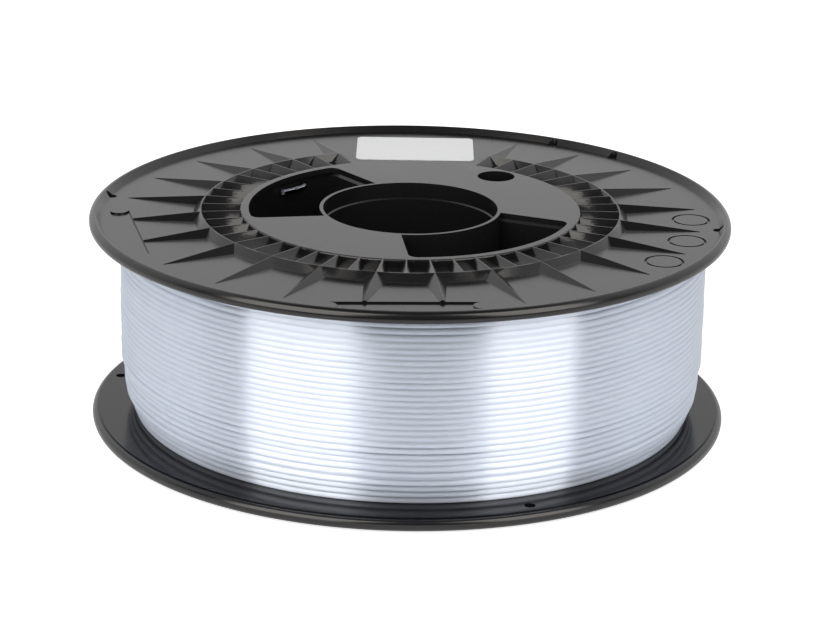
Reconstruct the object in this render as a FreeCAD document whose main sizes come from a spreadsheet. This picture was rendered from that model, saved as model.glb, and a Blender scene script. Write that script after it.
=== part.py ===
"""Filament spool lying on its side: two flange mouldings, a core, the winding and a sticker.

Row frame, in millimetres: origin at the centre of the lower hub face, +Z up along the spool's axis.
The photographed side of the spool faces -Y.
"""
import FreeCAD, Part
import math
import os
import Sketcher

V = FreeCAD.Vector
SHEET = "Sizes"
ORIGIN_POINT = (-1, 1)
X_AXIS, Y_AXIS = -1, -2
START, END, CENTRE = 1, 2, 3
CLOSE = 1e-4

# Driving dimensions: alias and value, in millimetres, degrees or counts.
DIMENSIONS = {
    # The spool as a whole.
    "spool_width": 68.0,
    "spool_radius": 100.0,
    "hub_axis_azimuth": 52.7,
    # The flange in section, heights counted outward from its inner face.
    "hub_height": 4.45,
    "rim_height": 4.0,
    "plate_thickness": 2.15,
    "disc_thickness": 1.8,
    "crest_inner_radius": 97.8,
    "cove_foot_radius": 96.2,
    "rim_round": 2.0,
    "crest_round": 0.35,
    "band_width": 2.0,
    "band_step": 0.3,
    "band_round": 1.5,
    "hub_disc_radius": 53.2,
    "hub_edge_round": 0.6,
    "collar_radius": 27.3,
    "collar_wall": 1.1,
    "collar_depth": 5.0,
    # The ring, its gussets and the cross ribs in the trough.
    "ring_radius": 65.4,
    "ring_ridge": 0.4,
    "ring_inner_foot": 63.7,
    "ring_outer_foot": 67.8,
    "ring_foot_round": 0.6,
    "ring_first_azimuth": 58.9,
    "ring_sweep": 315.0,
    "gusset_count": 22,
    "gusset_width": 7.0,
    "gusset_ridge": 0.3,
    "gusset_tip_radius": 90.4,
    "gusset_tip_width": 0.4,
    "gusset_tip_height": 0.1,
    "rib_count": 43,
    "rib_inner_width": 2.5,
    "rib_outer_width": 6.9,
    "rib_ridge": 0.3,
    # The windows, counted from the hub's own axis of symmetry.
    "window_outer_radius": 50.5,
    "window_corner": 3.0,
    "near_edge_angle": 75.0,
    "near_edge_offset": 7.0,
    "far_edge_angle": 136.1,
    "far_edge_offset": 5.9,
    "web_shoulder": 0.75,
    "web_thickness": 2.0,
    # The drive hole.
    "drive_hole_radius": 6.0,
    "drive_hole_circle": 45.5,
    "drive_boss_wall": 1.2,
    # The small holes that the filament's end can be tucked into.
    "tuck_hole_radius": 1.65,
    "upper_tuck_circle": 96.0,
    "lower_tuck_circle": 94.5,
    # The sunk pads.
    "pad_depth": 0.5,
    "round_pad_radius": 6.0,
    "round_pad_groove": 0.8,
    "round_pad_circle": 87.7,
    "round_pad_azimuth": -53.3,
    "round_pad_step": 14.55,
    "round_pad_count": 3,
    "long_pad_width": 6.0,
    "side_pad_azimuth": 140.6,
    "side_pad_distance": 88.7,
    "side_pad_from": -23.7,
    "side_pad_to": 28.8,
    "front_pad_azimuth": 219.8,
    "front_pad_distance": 87.6,
    "front_pad_from": -30.2,
    "front_pad_to": 20.7,
    # The core.
    "barrel_inner_radius": 51.6,
    "barrel_wall": 2.0,
    "tube_inner_radius": 26.9,
    "tube_chamfer": 0.4,
    "well_corner": 3.0,
    "fit_gap": 0.1,
    "notch_azimuth": 79.9,
    "notch_width": 2.6,
    "notch_depth": 1.3,
    "notch_rise": 1.0,
    "cut_overrun": 1.0,
    # The filament and its winding. The lower corner of the winding is unfilled and slopes in.
    "filament_diameter": 1.75,
    "winding_radius": 92.3,
    "winding_foot_radius": 86.5,
    "winding_slope_height": 12.0,
    "outer_loops": 17,
    "outer_start_azimuth": 60.0,
    "loop_top_margin": 1.0,
    "loop_end_height": 1.15,
    "layer_sink": 0.03,
    "wire_bend": 3.0,
    "hole_bend": 2.0,
    "pocket_clearance": 0.3,
    "start_height": 63.4,
    "start_bend": 5.2,
    # The sticker.
    "label_width": 39.2,
    "label_height": 27.4,
    "label_centre_x": 1.2,
    "label_centre_y": 75.0,
    "label_corner": 2.0,
    "label_thickness": 0.15,
}

# The small holes in each flange, as azimuths in the row frame.
UPPER_TUCK_AZIMUTHS = (171.2, 294.2, 60.1, 45.6, 353.2)
LOWER_TUCK_AZIMUTHS = (170.0, 292.6, 46.3, 61.0)

# The hole in the lower flange that the filament's outer end is tucked into, counted from 0.
END_HOLE = 3

# The filament's first end after it has come through the barrel: points along the barrel's inside.
START_ROUTE = ((-37.9, 33.2, 63.1), (-41.2, 29.2, 63.5))


def new_document():
    """The document, with the sheet of driving dimensions."""
    doc = FreeCAD.newDocument("FilamentSpool")
    sheet = doc.addObject("Spreadsheet::Sheet", SHEET)
    for row, (alias, value) in enumerate(DIMENSIONS.items(), start=1):
        cell = "A%d" % row
        sheet.set(cell, str(value))
        sheet.setAlias(cell, alias)
    doc.recompute()
    return doc


def bound(formula):
    """A formula of sheet aliases as an expression that names the sheet."""
    words = sorted(DIMENSIONS, key=len, reverse=True)
    out, at = "", 0
    while at < len(formula):
        word = next((w for w in words if formula.startswith(w, at)), None)
        before = formula[at - 1] if at else " "
        if word and not (before.isalnum() or before == "_"):
            out += "%s.%s" % (SHEET, word)
            at += len(word)
        else:
            out += formula[at]
            at += 1
    return out


def value_of(doc, formula):
    """The number that a formula gives with the sheet's present values."""
    result = doc.getObject(SHEET).evalExpression(bound(formula))
    return float(getattr(result, "Value", result))


def new_body(doc, name):
    """An empty body whose node is called name."""
    body = doc.addObject("PartDesign::Body", name)
    body.Label = name
    body.AllowCompound = True
    return body


def origin_plane(body, role):
    """One of the body's own origin planes, by its role."""
    return next(f for f in body.Origin.OriginFeatures if f.Role == role)


def new_sketch(body, name, role, offset=None, turn=None):
    """A sketch on an origin plane of its body, raised by offset and turned about Z by turn.

    The turn is for sketches on an upright plane: it swings the plane round the spool's axis.
    """
    sketch = body.newObject("Sketcher::SketchObject", name)
    sketch.AttachmentSupport = [(origin_plane(body, role), "")]
    sketch.MapMode = "FlatFace"
    if turn is not None:
        sketch.AttachmentOffset = FreeCAD.Placement(V(0, 0, 0), FreeCAD.Rotation(V(0, 1, 0), 1.0))
        sketch.setExpression("AttachmentOffset.Rotation.Angle", bound(turn))
        if offset is not None:
            sketch.setExpression("AttachmentOffset.Base.x", bound("(%s) * sin(%s)" % (offset, turn)))
            sketch.setExpression("AttachmentOffset.Base.z", bound("(%s) * cos(%s)" % (offset, turn)))
    elif offset is not None:
        sketch.setExpression("AttachmentOffset.Base.z", bound(offset))
    return sketch


def bind(sketch, constraint, formula):
    """Adds a constraint and binds its value to a formula."""
    index = sketch.addConstraint(constraint)
    name = "size%d" % index
    sketch.renameConstraint(index, name)
    sketch.setExpression("Constraints." + name, bound(formula))


def pin_point(sketch, geo, end, x_formula, y_formula):
    """Fixes a point of the sketch by two distances from the origin."""
    doc = sketch.Document
    for kind, axis, formula in (("DistanceX", Y_AXIS, x_formula), ("DistanceY", X_AXIS, y_formula)):
        if formula == "0":
            sketch.addConstraint(Sketcher.Constraint("PointOnObject", geo, end, axis))
            continue
        number = value_of(doc, formula)
        bind(sketch, Sketcher.Constraint(kind, *ORIGIN_POINT, geo, end, number), formula)


def outline(sketch, corners):
    """A closed outline of straight lines through corners given as pairs of formulas."""
    doc = sketch.Document
    points = [V(value_of(doc, x), value_of(doc, y), 0) for x, y in corners]
    first = sketch.GeometryCount
    last = first + len(points) - 1
    for here, there in zip(points, points[1:] + points[:1]):
        sketch.addGeometry(Part.LineSegment(here, there), False)
    for geo in range(first, last + 1):
        following = first if geo == last else geo + 1
        sketch.addConstraint(Sketcher.Constraint("Coincident", geo, END, following, START))
    for geo, (x_formula, y_formula) in enumerate(corners, start=first):
        pin_point(sketch, geo, START, x_formula, y_formula)


def circle(sketch, radius, x_formula, y_formula):
    """A circle of a given radius about a point."""
    doc = sketch.Document
    centre = V(value_of(doc, x_formula), value_of(doc, y_formula), 0)
    geo = sketch.addGeometry(Part.Circle(centre, V(0, 0, 1), value_of(doc, radius)), False)
    pin_point(sketch, geo, CENTRE, x_formula, y_formula)
    bind(sketch, Sketcher.Constraint("Radius", geo, value_of(doc, radius)), radius)


def sector(sketch, inner, outer, first_side, second_side, corner):
    """A ring sector between two straight sides, with its two outer corners rounded.

    A side is (angle, shift): a line in the direction angle, moved counter-clockwise off the centre
    by shift. The second side lies counter-clockwise of the first.
    """
    doc = sketch.Document
    small, large, rounding = (value_of(doc, formula) for formula in (inner, outer, corner))
    lines, rounds, inner_ends, outer_ends = [], [], [], []
    for (angle, shift), inward in ((first_side, 1), (second_side, -1)):
        turn, off = math.radians(value_of(doc, angle)), value_of(doc, shift)
        along, across = V(math.cos(turn), math.sin(turn), 0), V(-math.sin(turn), math.cos(turn), 0)
        middle_off = off + inward * rounding
        reach = math.sqrt((large - rounding) ** 2 - middle_off ** 2)
        middle = along * reach + across * middle_off
        inner_end = along * math.sqrt(small ** 2 - off ** 2) + across * off
        side_end = along * reach + across * off
        outer_end = middle * (large / middle.Length)
        lines.append(sketch.addGeometry(Part.LineSegment(inner_end, side_end), False))
        first, last = (side_end, outer_end) if inward < 0 else (outer_end, side_end)
        rounds.append(sketch.addGeometry(arc_between(middle, last, first), False))
        inner_ends.append(inner_end)
        outer_ends.append(outer_end)
    centre = V(0, 0, 0)
    inner_arc = sketch.addGeometry(arc_between(centre, *inner_ends), False)
    outer_arc = sketch.addGeometry(arc_between(centre, *outer_ends), False)
    for arc, formula in ((inner_arc, inner), (outer_arc, outer)):
        sketch.addConstraint(Sketcher.Constraint("Coincident", arc, CENTRE, *ORIGIN_POINT))
        bind(sketch, Sketcher.Constraint("Radius", arc, value_of(doc, formula)), formula)
    joins = ((START, END, START), (END, START, END))
    for line, rounded, (outer_end, side_end, round_end) in zip(lines, rounds, joins):
        sketch.addConstraint(Sketcher.Constraint("Coincident", inner_arc, outer_end, line, START))
        sketch.addConstraint(Sketcher.Constraint("Tangent", line, END, rounded, round_end))
        sketch.addConstraint(Sketcher.Constraint("Tangent", rounded, side_end, outer_arc, outer_end))
        bind(sketch, Sketcher.Constraint("Radius", rounded, rounding), corner)
    for line, (angle, shift) in zip(lines, (first_side, second_side)):
        bind(sketch, Sketcher.Constraint("Angle", line, math.radians(value_of(doc, angle))), angle)
        distance = "abs(%s)" % shift
        bind(sketch, Sketcher.Constraint("Distance", *ORIGIN_POINT, line, value_of(doc, distance)), distance)


def arc_between(centre, start, end):
    """The counter-clockwise arc about a centre from one point to another."""
    first, last = (math.atan2(p.y - centre.y, p.x - centre.x) for p in (start, end))
    if last < first:
        last += 2 * math.pi
    return Part.ArcOfCircle(Part.Circle(centre, V(0, 0, 1), (start - centre).Length), first, last)


def slot(sketch, distance, turn, start, end, width):
    """A round-ended slot square to the direction turn, at a distance from the centre.

    start and end are where it begins and stops along its length, round ends and all.
    """
    doc = sketch.Document
    angle = math.radians(value_of(doc, turn))
    out, side = V(math.cos(angle), math.sin(angle), 0), V(-math.sin(angle), math.cos(angle), 0)
    half = value_of(doc, width) / 2
    ends = []
    for formula in ("(%s) + (%s) / 2" % (start, width), "(%s) - (%s) / 2" % (end, width)):
        ends.append(out * value_of(doc, distance) + side * value_of(doc, formula))
    near, far = ends
    lines = [sketch.addGeometry(Part.LineSegment(near - out * half, far - out * half), False),
             sketch.addGeometry(Part.LineSegment(far + out * half, near + out * half), False)]
    arcs = []
    for centre, begin in ((far, angle + math.pi), (near, angle)):
        ring = Part.Circle(centre, V(0, 0, 1), half)
        arcs.append(sketch.addGeometry(Part.ArcOfCircle(ring, begin, begin + math.pi), False))
    joins = ((lines[0], END, arcs[0], START), (arcs[0], END, lines[1], START),
             (lines[1], END, arcs[1], START), (arcs[1], END, lines[0], START))
    for join in joins:
        sketch.addConstraint(Sketcher.Constraint("Tangent", *join))
    bind(sketch, Sketcher.Constraint("Radius", arcs[0], half), "(%s) / 2" % width)
    place = "(%s) * %s(%s) %s ((%s) %s (%s) / 2) * %s(%s)"
    for arc, at, sign in ((arcs[0], end, "-"), (arcs[1], start, "+")):
        x_formula = place % (distance, "cos", turn, "-", at, sign, width, "sin", turn)
        y_formula = place % (distance, "sin", turn, "+", at, sign, width, "cos", turn)
        pin_point(sketch, arc, CENTRE, x_formula, y_formula)


def revolve(body, name, sketch, sweep=None):
    """A solid of revolution about the spool's axis, through a full turn or a given sweep."""
    feature = body.newObject("PartDesign::Revolution", name)
    feature.Profile = sketch
    feature.ReferenceAxis = (sketch, ["V_Axis"])
    if sweep is None:
        feature.Angle = 360.0
    else:
        feature.setExpression("Angle", bound(sweep))
    return feature


def extrude(body, name, kind, sketch, length, downward=False):
    """A pad or pocket of a given length from its sketch, up or down along Z."""
    feature = body.newObject("PartDesign::" + kind, name)
    feature.Profile = sketch
    feature.setExpression("Length", bound(length))
    # A pocket runs against its sketch's normal unless it is reversed, a pad along it.
    feature.Reversed = downward if kind == "Pad" else not downward
    return feature


def loft(body, name, sections):
    """A ruled solid through a list of sketches."""
    feature = body.newObject("PartDesign::AdditiveLoft", name)
    feature.Profile = sections[0]
    feature.Sections = sections[1:]
    feature.Ruled = True
    return feature


def around(body, name, feature, sweep, count):
    """Repeats a feature about the spool's axis over a sweep, the first and last included."""
    pattern = body.newObject("PartDesign::PolarPattern", name)
    pattern.Originals = [feature]
    pattern.Axis = (next(f for f in body.Origin.OriginFeatures if f.Role == "Z_Axis"), [""])
    pattern.setExpression("Angle", bound(sweep))
    pattern.setExpression("Occurrences", bound(count))
    body.Tip = pattern
    return pattern


def mirrored(body, name, feature, role):
    """Mirrors a feature in one of the body's origin planes."""
    mirror = body.newObject("PartDesign::Mirrored", name)
    mirror.Originals = [feature]
    mirror.MirrorPlane = (origin_plane(body, role), [""])
    body.Tip = mirror
    return mirror


def edges_where(shape, test):
    """Names of the shape's edges that pass a test."""
    return ["Edge%d" % n for n, edge in enumerate(shape.Edges, start=1) if test(edge)]


def ring_edges(shape, radius, height):
    """Names of the round edges about the axis with a radius, at a height."""
    def matches(edge):
        curve = edge.Curve
        return (isinstance(curve, Part.Circle) and abs(curve.Radius - radius) < CLOSE
                and (curve.Center - V(0, 0, height)).Length < CLOSE)
    return edges_where(shape, matches)


def dress(body, name, kind, feature, edges, size):
    """Rounds or chamfers edges of a feature."""
    if not edges:
        raise RuntimeError("%s has no edges to work on" % name)
    dressed = body.newObject("PartDesign::" + kind, name)
    dressed.Base = (feature, edges)
    dressed.setExpression("Radius" if kind == "Fillet" else "Size", bound(size))
    return dressed


def add_section(doc, body):
    """The flange without its ring: rim, cove, plate, hub disc and collar, turned in one piece."""
    sketch = new_sketch(body, body.Name + "_section", "XZ_Plane")
    underside = "hub_height - disc_thickness"
    collar_end = "hub_height - collar_depth"
    collar_outside = "collar_radius + collar_wall"
    outline(sketch, [
        ("collar_radius", collar_end), ("collar_radius", "hub_height"),
        ("hub_disc_radius", "hub_height"), ("hub_disc_radius", "plate_thickness"),
        ("cove_foot_radius", "plate_thickness"), ("crest_inner_radius", "rim_height"),
        ("spool_radius", "rim_height"), ("spool_radius", "band_step"),
        ("spool_radius - band_width", "band_step"), ("spool_radius - band_width", "0"),
        ("barrel_inner_radius", "0"), ("barrel_inner_radius", underside),
        (collar_outside, underside), (collar_outside, collar_end)])
    solid = revolve(body, body.Name + "_turned", sketch)
    doc.recompute()
    for label, radius, height, size in (
            ("rim_edge", "spool_radius", "rim_height", "rim_round"),
            ("band_edge", "spool_radius", "band_step", "band_round"),
            ("crest_edge", "crest_inner_radius", "rim_height", "crest_round"),
            ("hub_edge", "hub_disc_radius", "hub_height", "hub_edge_round")):
        edges = ring_edges(solid.Shape, value_of(doc, radius), value_of(doc, height))
        solid = dress(body, "%s_%s" % (body.Name, label), "Fillet", solid, edges, size)
        doc.recompute()
    return solid


def add_ring(doc, body):
    """The roof-shaped ring, which stops either side of the label's place."""
    sketch = new_sketch(body, body.Name + "_ring_section", "XZ_Plane", turn="ring_first_azimuth")
    foot, crown = "plate_thickness / 2", "ring_ridge / 2"
    outline(sketch, [
        ("ring_inner_foot", foot), ("ring_outer_foot", foot), ("ring_outer_foot", "plate_thickness"),
        ("ring_radius + " + crown, "hub_height"), ("ring_radius - " + crown, "hub_height"),
        ("ring_inner_foot", "plate_thickness")])
    ring = revolve(body, body.Name + "_ring", sketch, "ring_sweep")
    ring.Reversed = False
    doc.recompute()
    edges = ring_edges(ring.Shape, value_of(doc, "ring_outer_foot"), value_of(doc, "plate_thickness"))
    dress(body, body.Name + "_ring_foot", "Fillet", ring, edges, "ring_foot_round")
    doc.recompute()


def ridge_section(body, name, radius, width, ridge, top, turn):
    """A roof-shaped section across a radial ridge, at a radius and an azimuth.

    The width is the roof's where it meets the plate, and its foot stands straight down in the plate.
    """
    sketch = new_sketch(body, name, "YZ_Plane", offset=radius, turn=turn)
    half, crown, foot = "(%s) / 2" % width, "(%s) / 2" % ridge, "plate_thickness / 2"
    outline(sketch, [("-" + half, foot), (half, foot), (half, "plate_thickness"), (crown, top),
                     ("-" + crown, top), ("-" + half, "plate_thickness")])
    return sketch


def add_gussets(doc, body):
    """The long gussets that run from the ring out to a point on the plate."""
    root = ridge_section(body, body.Name + "_gusset_root", "ring_radius", "gusset_width",
                         "gusset_ridge", "hub_height", "ring_first_azimuth")
    tip = ridge_section(body, body.Name + "_gusset_tip", "gusset_tip_radius", "gusset_tip_width",
                        "gusset_tip_width / 2", "plate_thickness + gusset_tip_height",
                        "ring_first_azimuth")
    gusset = loft(body, body.Name + "_gusset", [root, tip])
    doc.recompute()
    around(body, body.Name + "_gussets", gusset, "ring_sweep", "gusset_count")
    doc.recompute()


def add_ribs(doc, body):
    """The short cross ribs in the trough, level with the hub disc and the ring."""
    sections = [
        ridge_section(body, "%s_rib_%s" % (body.Name, end), radius, width, "rib_ridge", "hub_height",
                      "ring_first_azimuth")
        for end, radius, width in (
            ("inner", "hub_disc_radius - hub_edge_round", "rib_inner_width"),
            ("outer", "ring_radius", "rib_outer_width"))]
    rib = loft(body, body.Name + "_rib", sections)
    doc.recompute()
    around(body, body.Name + "_ribs", rib, "ring_sweep", "rib_count")
    doc.recompute()


def cut_windows(doc, body):
    """The two windows in the hub disc, one either side of the hub's axis of symmetry."""
    sketch = new_sketch(body, body.Name + "_window_outline", "XY_Plane", offset="hub_height")
    sector(sketch, "collar_radius + collar_wall", "window_outer_radius",
           ("near_edge_angle", "-near_edge_offset"), ("far_edge_angle", "far_edge_offset"),
           "window_corner")
    window = extrude(body, body.Name + "_window", "Pocket", sketch, "disc_thickness", downward=True)
    doc.recompute()
    mirrored(body, body.Name + "_windows", window, "XZ_Plane")
    doc.recompute()


def cut_drive_hole(doc, body):
    """The drive hole and the short boss round it, which reaches down to the barrel's end."""
    boss = new_sketch(body, body.Name + "_drive_boss_outline", "XY_Plane")
    circle(boss, "drive_hole_radius + drive_boss_wall", "drive_hole_circle", "0")
    extrude(body, body.Name + "_drive_boss", "Pad", boss, "hub_height - disc_thickness / 2")
    hole = new_sketch(body, body.Name + "_drive_hole_outline", "XY_Plane", offset="hub_height")
    circle(hole, "drive_hole_radius", "drive_hole_circle", "0")
    extrude(body, body.Name + "_drive_hole", "Pocket", hole, "hub_height", downward=True)
    doc.recompute()


def cut_pads(doc, body):
    """The three round marks, each a groove, and the two long sunk pads in the plate."""
    depth = "rim_height - plate_thickness + pad_depth"
    sketch = new_sketch(body, body.Name + "_round_pad_outline", "XY_Plane", offset="rim_height")
    for radius in ("round_pad_radius", "round_pad_radius - round_pad_groove"):
        circle(sketch, radius, "round_pad_circle * cos(round_pad_azimuth)",
               "round_pad_circle * sin(round_pad_azimuth)")
    pad = extrude(body, body.Name + "_round_pad", "Pocket", sketch, depth, downward=True)
    doc.recompute()
    pattern = around(body, body.Name + "_round_pads", pad, "round_pad_step * (round_pad_count - 1)",
                     "round_pad_count")
    pattern.Reversed = True
    doc.recompute()
    for side in ("side", "front"):
        sketch = new_sketch(body, "%s_%s_pad_outline" % (body.Name, side), "XY_Plane", offset="rim_height")
        slot(sketch, side + "_pad_distance", side + "_pad_azimuth", side + "_pad_from",
             side + "_pad_to", "long_pad_width")
        extrude(body, "%s_%s_pad" % (body.Name, side), "Pocket", sketch, depth, downward=True)
        doc.recompute()


def cut_tuck_holes(doc, body, azimuths, sense):
    """The small through holes near the rim, at azimuths of the row frame.

    sense is 1 on the upper flange and -1 on the lower one, which is turned over about the hub's axis.
    """
    for number, azimuth in enumerate(azimuths, start=1):
        sketch = new_sketch(body, "%s_tuck_hole_%d_outline" % (body.Name, number), "XY_Plane",
                            offset="rim_height")
        turn = "%d * (%s - hub_axis_azimuth)" % (sense, azimuth)
        reach = "upper_tuck_circle" if sense > 0 else "lower_tuck_circle"
        circle(sketch, "tuck_hole_radius", "%s * cos(%s)" % (reach, turn), "%s * sin(%s)" % (reach, turn))
        extrude(body, "%s_tuck_hole_%d" % (body.Name, number), "Pocket", sketch, "rim_height",
                downward=True)
    doc.recompute()


def cut_start_notch(doc, body, bottom, top):
    """The slot for the filament's first end, cut outward through the barrel between two heights."""
    sketch = new_sketch(body, body.Name + "_notch_outline", "YZ_Plane",
                        offset="barrel_inner_radius - cut_overrun", turn="notch_azimuth")
    half = "notch_width / 2"
    outline(sketch, [("-" + half, bottom), (half, bottom), (half, top), ("-" + half, top)])
    notch = body.newObject("PartDesign::Pocket", body.Name + "_notch")
    notch.Profile = sketch
    notch.setExpression("Length", bound("barrel_wall + 2 * cut_overrun"))
    notch.Reversed = True
    doc.recompute()


def make_flange(doc, name, azimuths, sense):
    """One flange moulding, built with its inner face on its XY plane and its outside upward.

    The upper flange sits at the top of the winding. The lower one is the same moulding turned over
    about the hub's axis of symmetry, so that the windows and drive holes line up.
    """
    body = new_body(doc, name)
    add_section(doc, body)
    add_ring(doc, body)
    add_gussets(doc, body)
    add_ribs(doc, body)
    cut_windows(doc, body)
    cut_drive_hole(doc, body)
    cut_pads(doc, body)
    cut_tuck_holes(doc, body, azimuths, sense)
    if sense > 0:
        cut_start_notch(doc, body, "-cut_overrun", "notch_rise")
    turn = FreeCAD.Rotation(V(0, 0, 1), value_of(doc, "hub_axis_azimuth"))
    if sense < 0:
        turn = turn.multiply(FreeCAD.Rotation(V(1, 0, 0), 180.0))
    body.Placement = FreeCAD.Placement(V(0, 0, 0), turn)
    body.setExpression("Placement.Base.z", bound("spool_width - hub_height" if sense > 0 else "hub_height"))
    doc.recompute()
    return body


def make_core(doc):
    """The barrel, the bore tube and the webs between them, from the lower inner face upward."""
    body = new_body(doc, "core")
    winding_width = "spool_width - 2 * hub_height"
    tube_bottom, tube_top = "collar_depth - hub_height", "spool_width - hub_height - collar_depth"
    web_bottom = "disc_thickness - hub_height"
    web_top = "spool_width - hub_height - disc_thickness"
    collar_outside = "collar_radius + collar_wall"
    barrel_outside = "barrel_inner_radius + barrel_wall"
    web_outside = "barrel_inner_radius - fit_gap"
    sketch = new_sketch(body, "core_section", "XZ_Plane")
    outline(sketch, [
        ("tube_inner_radius", tube_bottom), ("tube_inner_radius", tube_top),
        (collar_outside, tube_top), (collar_outside, web_top), (web_outside, web_top),
        (web_outside, winding_width), (barrel_outside, winding_width), (barrel_outside, "0"),
        (web_outside, "0"), (web_outside, web_bottom), (collar_outside, web_bottom),
        (collar_outside, tube_bottom)])
    turned = revolve(body, "core_turned", sketch)
    doc.recompute()
    edges = []
    for height in (tube_bottom, tube_top):
        edges += ring_edges(turned.Shape, value_of(doc, "tube_inner_radius"), value_of(doc, height))
    dress(body, "core_tube_chamfer", "Chamfer", turned, edges, "tube_chamfer")
    doc.recompute()

    near_shift = "web_shoulder - near_edge_offset"
    far_shift = "far_edge_offset - web_shoulder"
    wells = (("well", ("near_edge_angle", near_shift), ("far_edge_angle", far_shift), True),
             ("front_chamber", ("far_edge_angle", far_shift + " + web_thickness"),
              ("360 - far_edge_angle", "-(%s + web_thickness)" % far_shift), False),
             ("drive_chamber", ("-near_edge_angle", "web_thickness - (%s)" % near_shift),
              ("near_edge_angle", "%s - web_thickness" % near_shift), False))
    for name, first_side, second_side, twice in wells:
        sketch = new_sketch(body, "core_%s_outline" % name, "XY_Plane", offset=web_top)
        sector(sketch, collar_outside, "barrel_inner_radius", first_side, second_side, "well_corner")
        cut = extrude(body, "core_" + name, "Pocket", sketch, "%s - (%s)" % (web_top, web_bottom),
                      downward=True)
        doc.recompute()
        if twice:
            cut = mirrored(body, "core_both_wells", cut, "XZ_Plane")
            doc.recompute()
            shoulders = well_edges(doc, cut.Shape, web_top, web_bottom)
            cut = dress(body, "core_web_shoulders", "Chamfer", cut, shoulders, "web_shoulder")
            doc.recompute()
    cut_start_notch(doc, body, "%s - notch_depth" % winding_width, "%s + cut_overrun" % winding_width)
    body.Placement = FreeCAD.Placement(V(0, 0, 0),
                                       FreeCAD.Rotation(V(0, 0, 1), value_of(doc, "hub_axis_azimuth")))
    body.setExpression("Placement.Base.z", bound("hub_height"))
    doc.recompute()
    return body


def well_edges(doc, shape, top, bottom):
    """Names of the straight level edges of the wells at the webs' two ends."""
    heights = (value_of(doc, top), value_of(doc, bottom))

    def matches(edge):
        if not isinstance(edge.Curve, Part.Line):
            return False
        first, last = (vertex.Z for vertex in edge.Vertexes)
        return abs(first - last) < CLOSE and any(abs(first - height) < CLOSE for height in heights)
    return edges_where(shape, matches)


def make_inner_layers(doc):
    """The wound layers below the outermost one, as one plain body with a sloping lower corner."""
    body = new_body(doc, "filament_inner_layers")
    height = "spool_width - 2 * hub_height"
    barrel_outside = "barrel_inner_radius + barrel_wall"
    sketch = new_sketch(body, "inner_layers_section", "XZ_Plane")
    outline(sketch, [
        (barrel_outside, "0"), ("winding_foot_radius - filament_diameter", "0"),
        ("winding_radius - filament_diameter", "winding_slope_height"),
        ("winding_radius - filament_diameter", height), (barrel_outside, height)])
    revolve(body, "inner_layers_turned", sketch)
    doc.recompute()

    # The pocket where the outermost layer comes out of the one below.
    pocket_sketch = new_sketch(body, "inner_layers_pocket_outline", "YZ_Plane",
                               offset="winding_radius - filament_diameter * 3 / 2 - layer_sink - wire_bend",
                               turn="outer_start_azimuth")
    margin = "(filament_diameter / 2 + pocket_clearance)"
    middle = "(%s - loop_top_margin)" % height
    left, right = "-" + margin, "2 * wire_bend"
    bottom, top = "%s - %s" % (middle, margin), "%s + %s" % (middle, margin)
    outline(pocket_sketch, [(left, bottom), (right, bottom), (right, top), (left, top)])
    pocket = body.newObject("PartDesign::Pocket", "inner_layers_pocket")
    pocket.Profile = pocket_sketch
    pocket.setExpression("Length", bound("wire_bend + 2 * filament_diameter"))
    pocket.Reversed = True
    body.setExpression("Placement.Base.z", bound("hub_height"))
    doc.recompute()
    return body


def make_label(doc):
    """The sticker on the plate between the ring's two ends."""
    body = new_body(doc, "label")
    sketch = new_sketch(body, "label_outline", "XY_Plane")
    left, right = "label_centre_x - label_width / 2", "label_centre_x + label_width / 2"
    front, back = "label_centre_y - label_height / 2", "label_centre_y + label_height / 2"
    outline(sketch, [(left, front), (right, front), (right, back), (left, back)])
    pad = extrude(body, "label_sheet", "Pad", sketch, "label_thickness")
    doc.recompute()
    corners = edges_where(pad.Shape, lambda edge: abs(edge.Vertexes[0].Z - edge.Vertexes[-1].Z) > CLOSE)
    dress(body, "label_corners", "Fillet", pad, corners, "label_corner")
    body.setExpression("Placement.Base.z", bound("spool_width - hub_height + plate_thickness"))
    doc.recompute()
    return body


def biarc(start, start_way, end, end_way):
    """Two arcs, tangent to each other, from start to end with given directions there."""
    start_way, end_way = V(start_way).normalize(), V(end_way).normalize()
    gap, ways = end - start, start_way + end_way
    rest = 4 - ways.dot(ways)
    along = gap.dot(ways)
    reach = (math.sqrt(along * along + rest * gap.dot(gap)) - along) / rest
    first_corner, second_corner = start + start_way * reach, end - end_way * reach
    middle = (first_corner + second_corner) * 0.5
    return [corner_arc(start, first_corner, middle), corner_arc(middle, second_corner, end)]


def corner_arc(start, corner, end):
    """The arc that leaves start towards corner and reaches end, both equally far from corner."""
    chord_middle = (start + end) * 0.5
    half_chord, reach = (end - start).Length / 2, (corner - start).Length
    rise = (corner - chord_middle).Length
    radius = half_chord * reach / rise
    sagitta = radius - radius * half_chord / reach
    through = chord_middle + (corner - chord_middle) * (sagitta / rise)
    return Part.Arc(start, through, end).toShape()


def rounded_route(points, radii):
    """Straight runs joined by tangent arcs, one radius for each corner."""
    edges, at = [], points[0]
    for before, corner, after, radius in zip(points, points[1:], points[2:], radii):
        arrive, leave = (corner - before).normalize(), (after - corner).normalize()
        half_turn = math.acos(max(-1.0, min(1.0, arrive.dot(leave)))) / 2
        reach = radius * math.tan(half_turn)
        begin, end = corner - arrive * reach, corner + leave * reach
        edges.append(Part.LineSegment(at, begin).toShape())
        edges.append(corner_arc(begin, corner, end))
        at = end
    edges.append(Part.LineSegment(at, points[-1]).toShape())
    return edges


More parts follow.
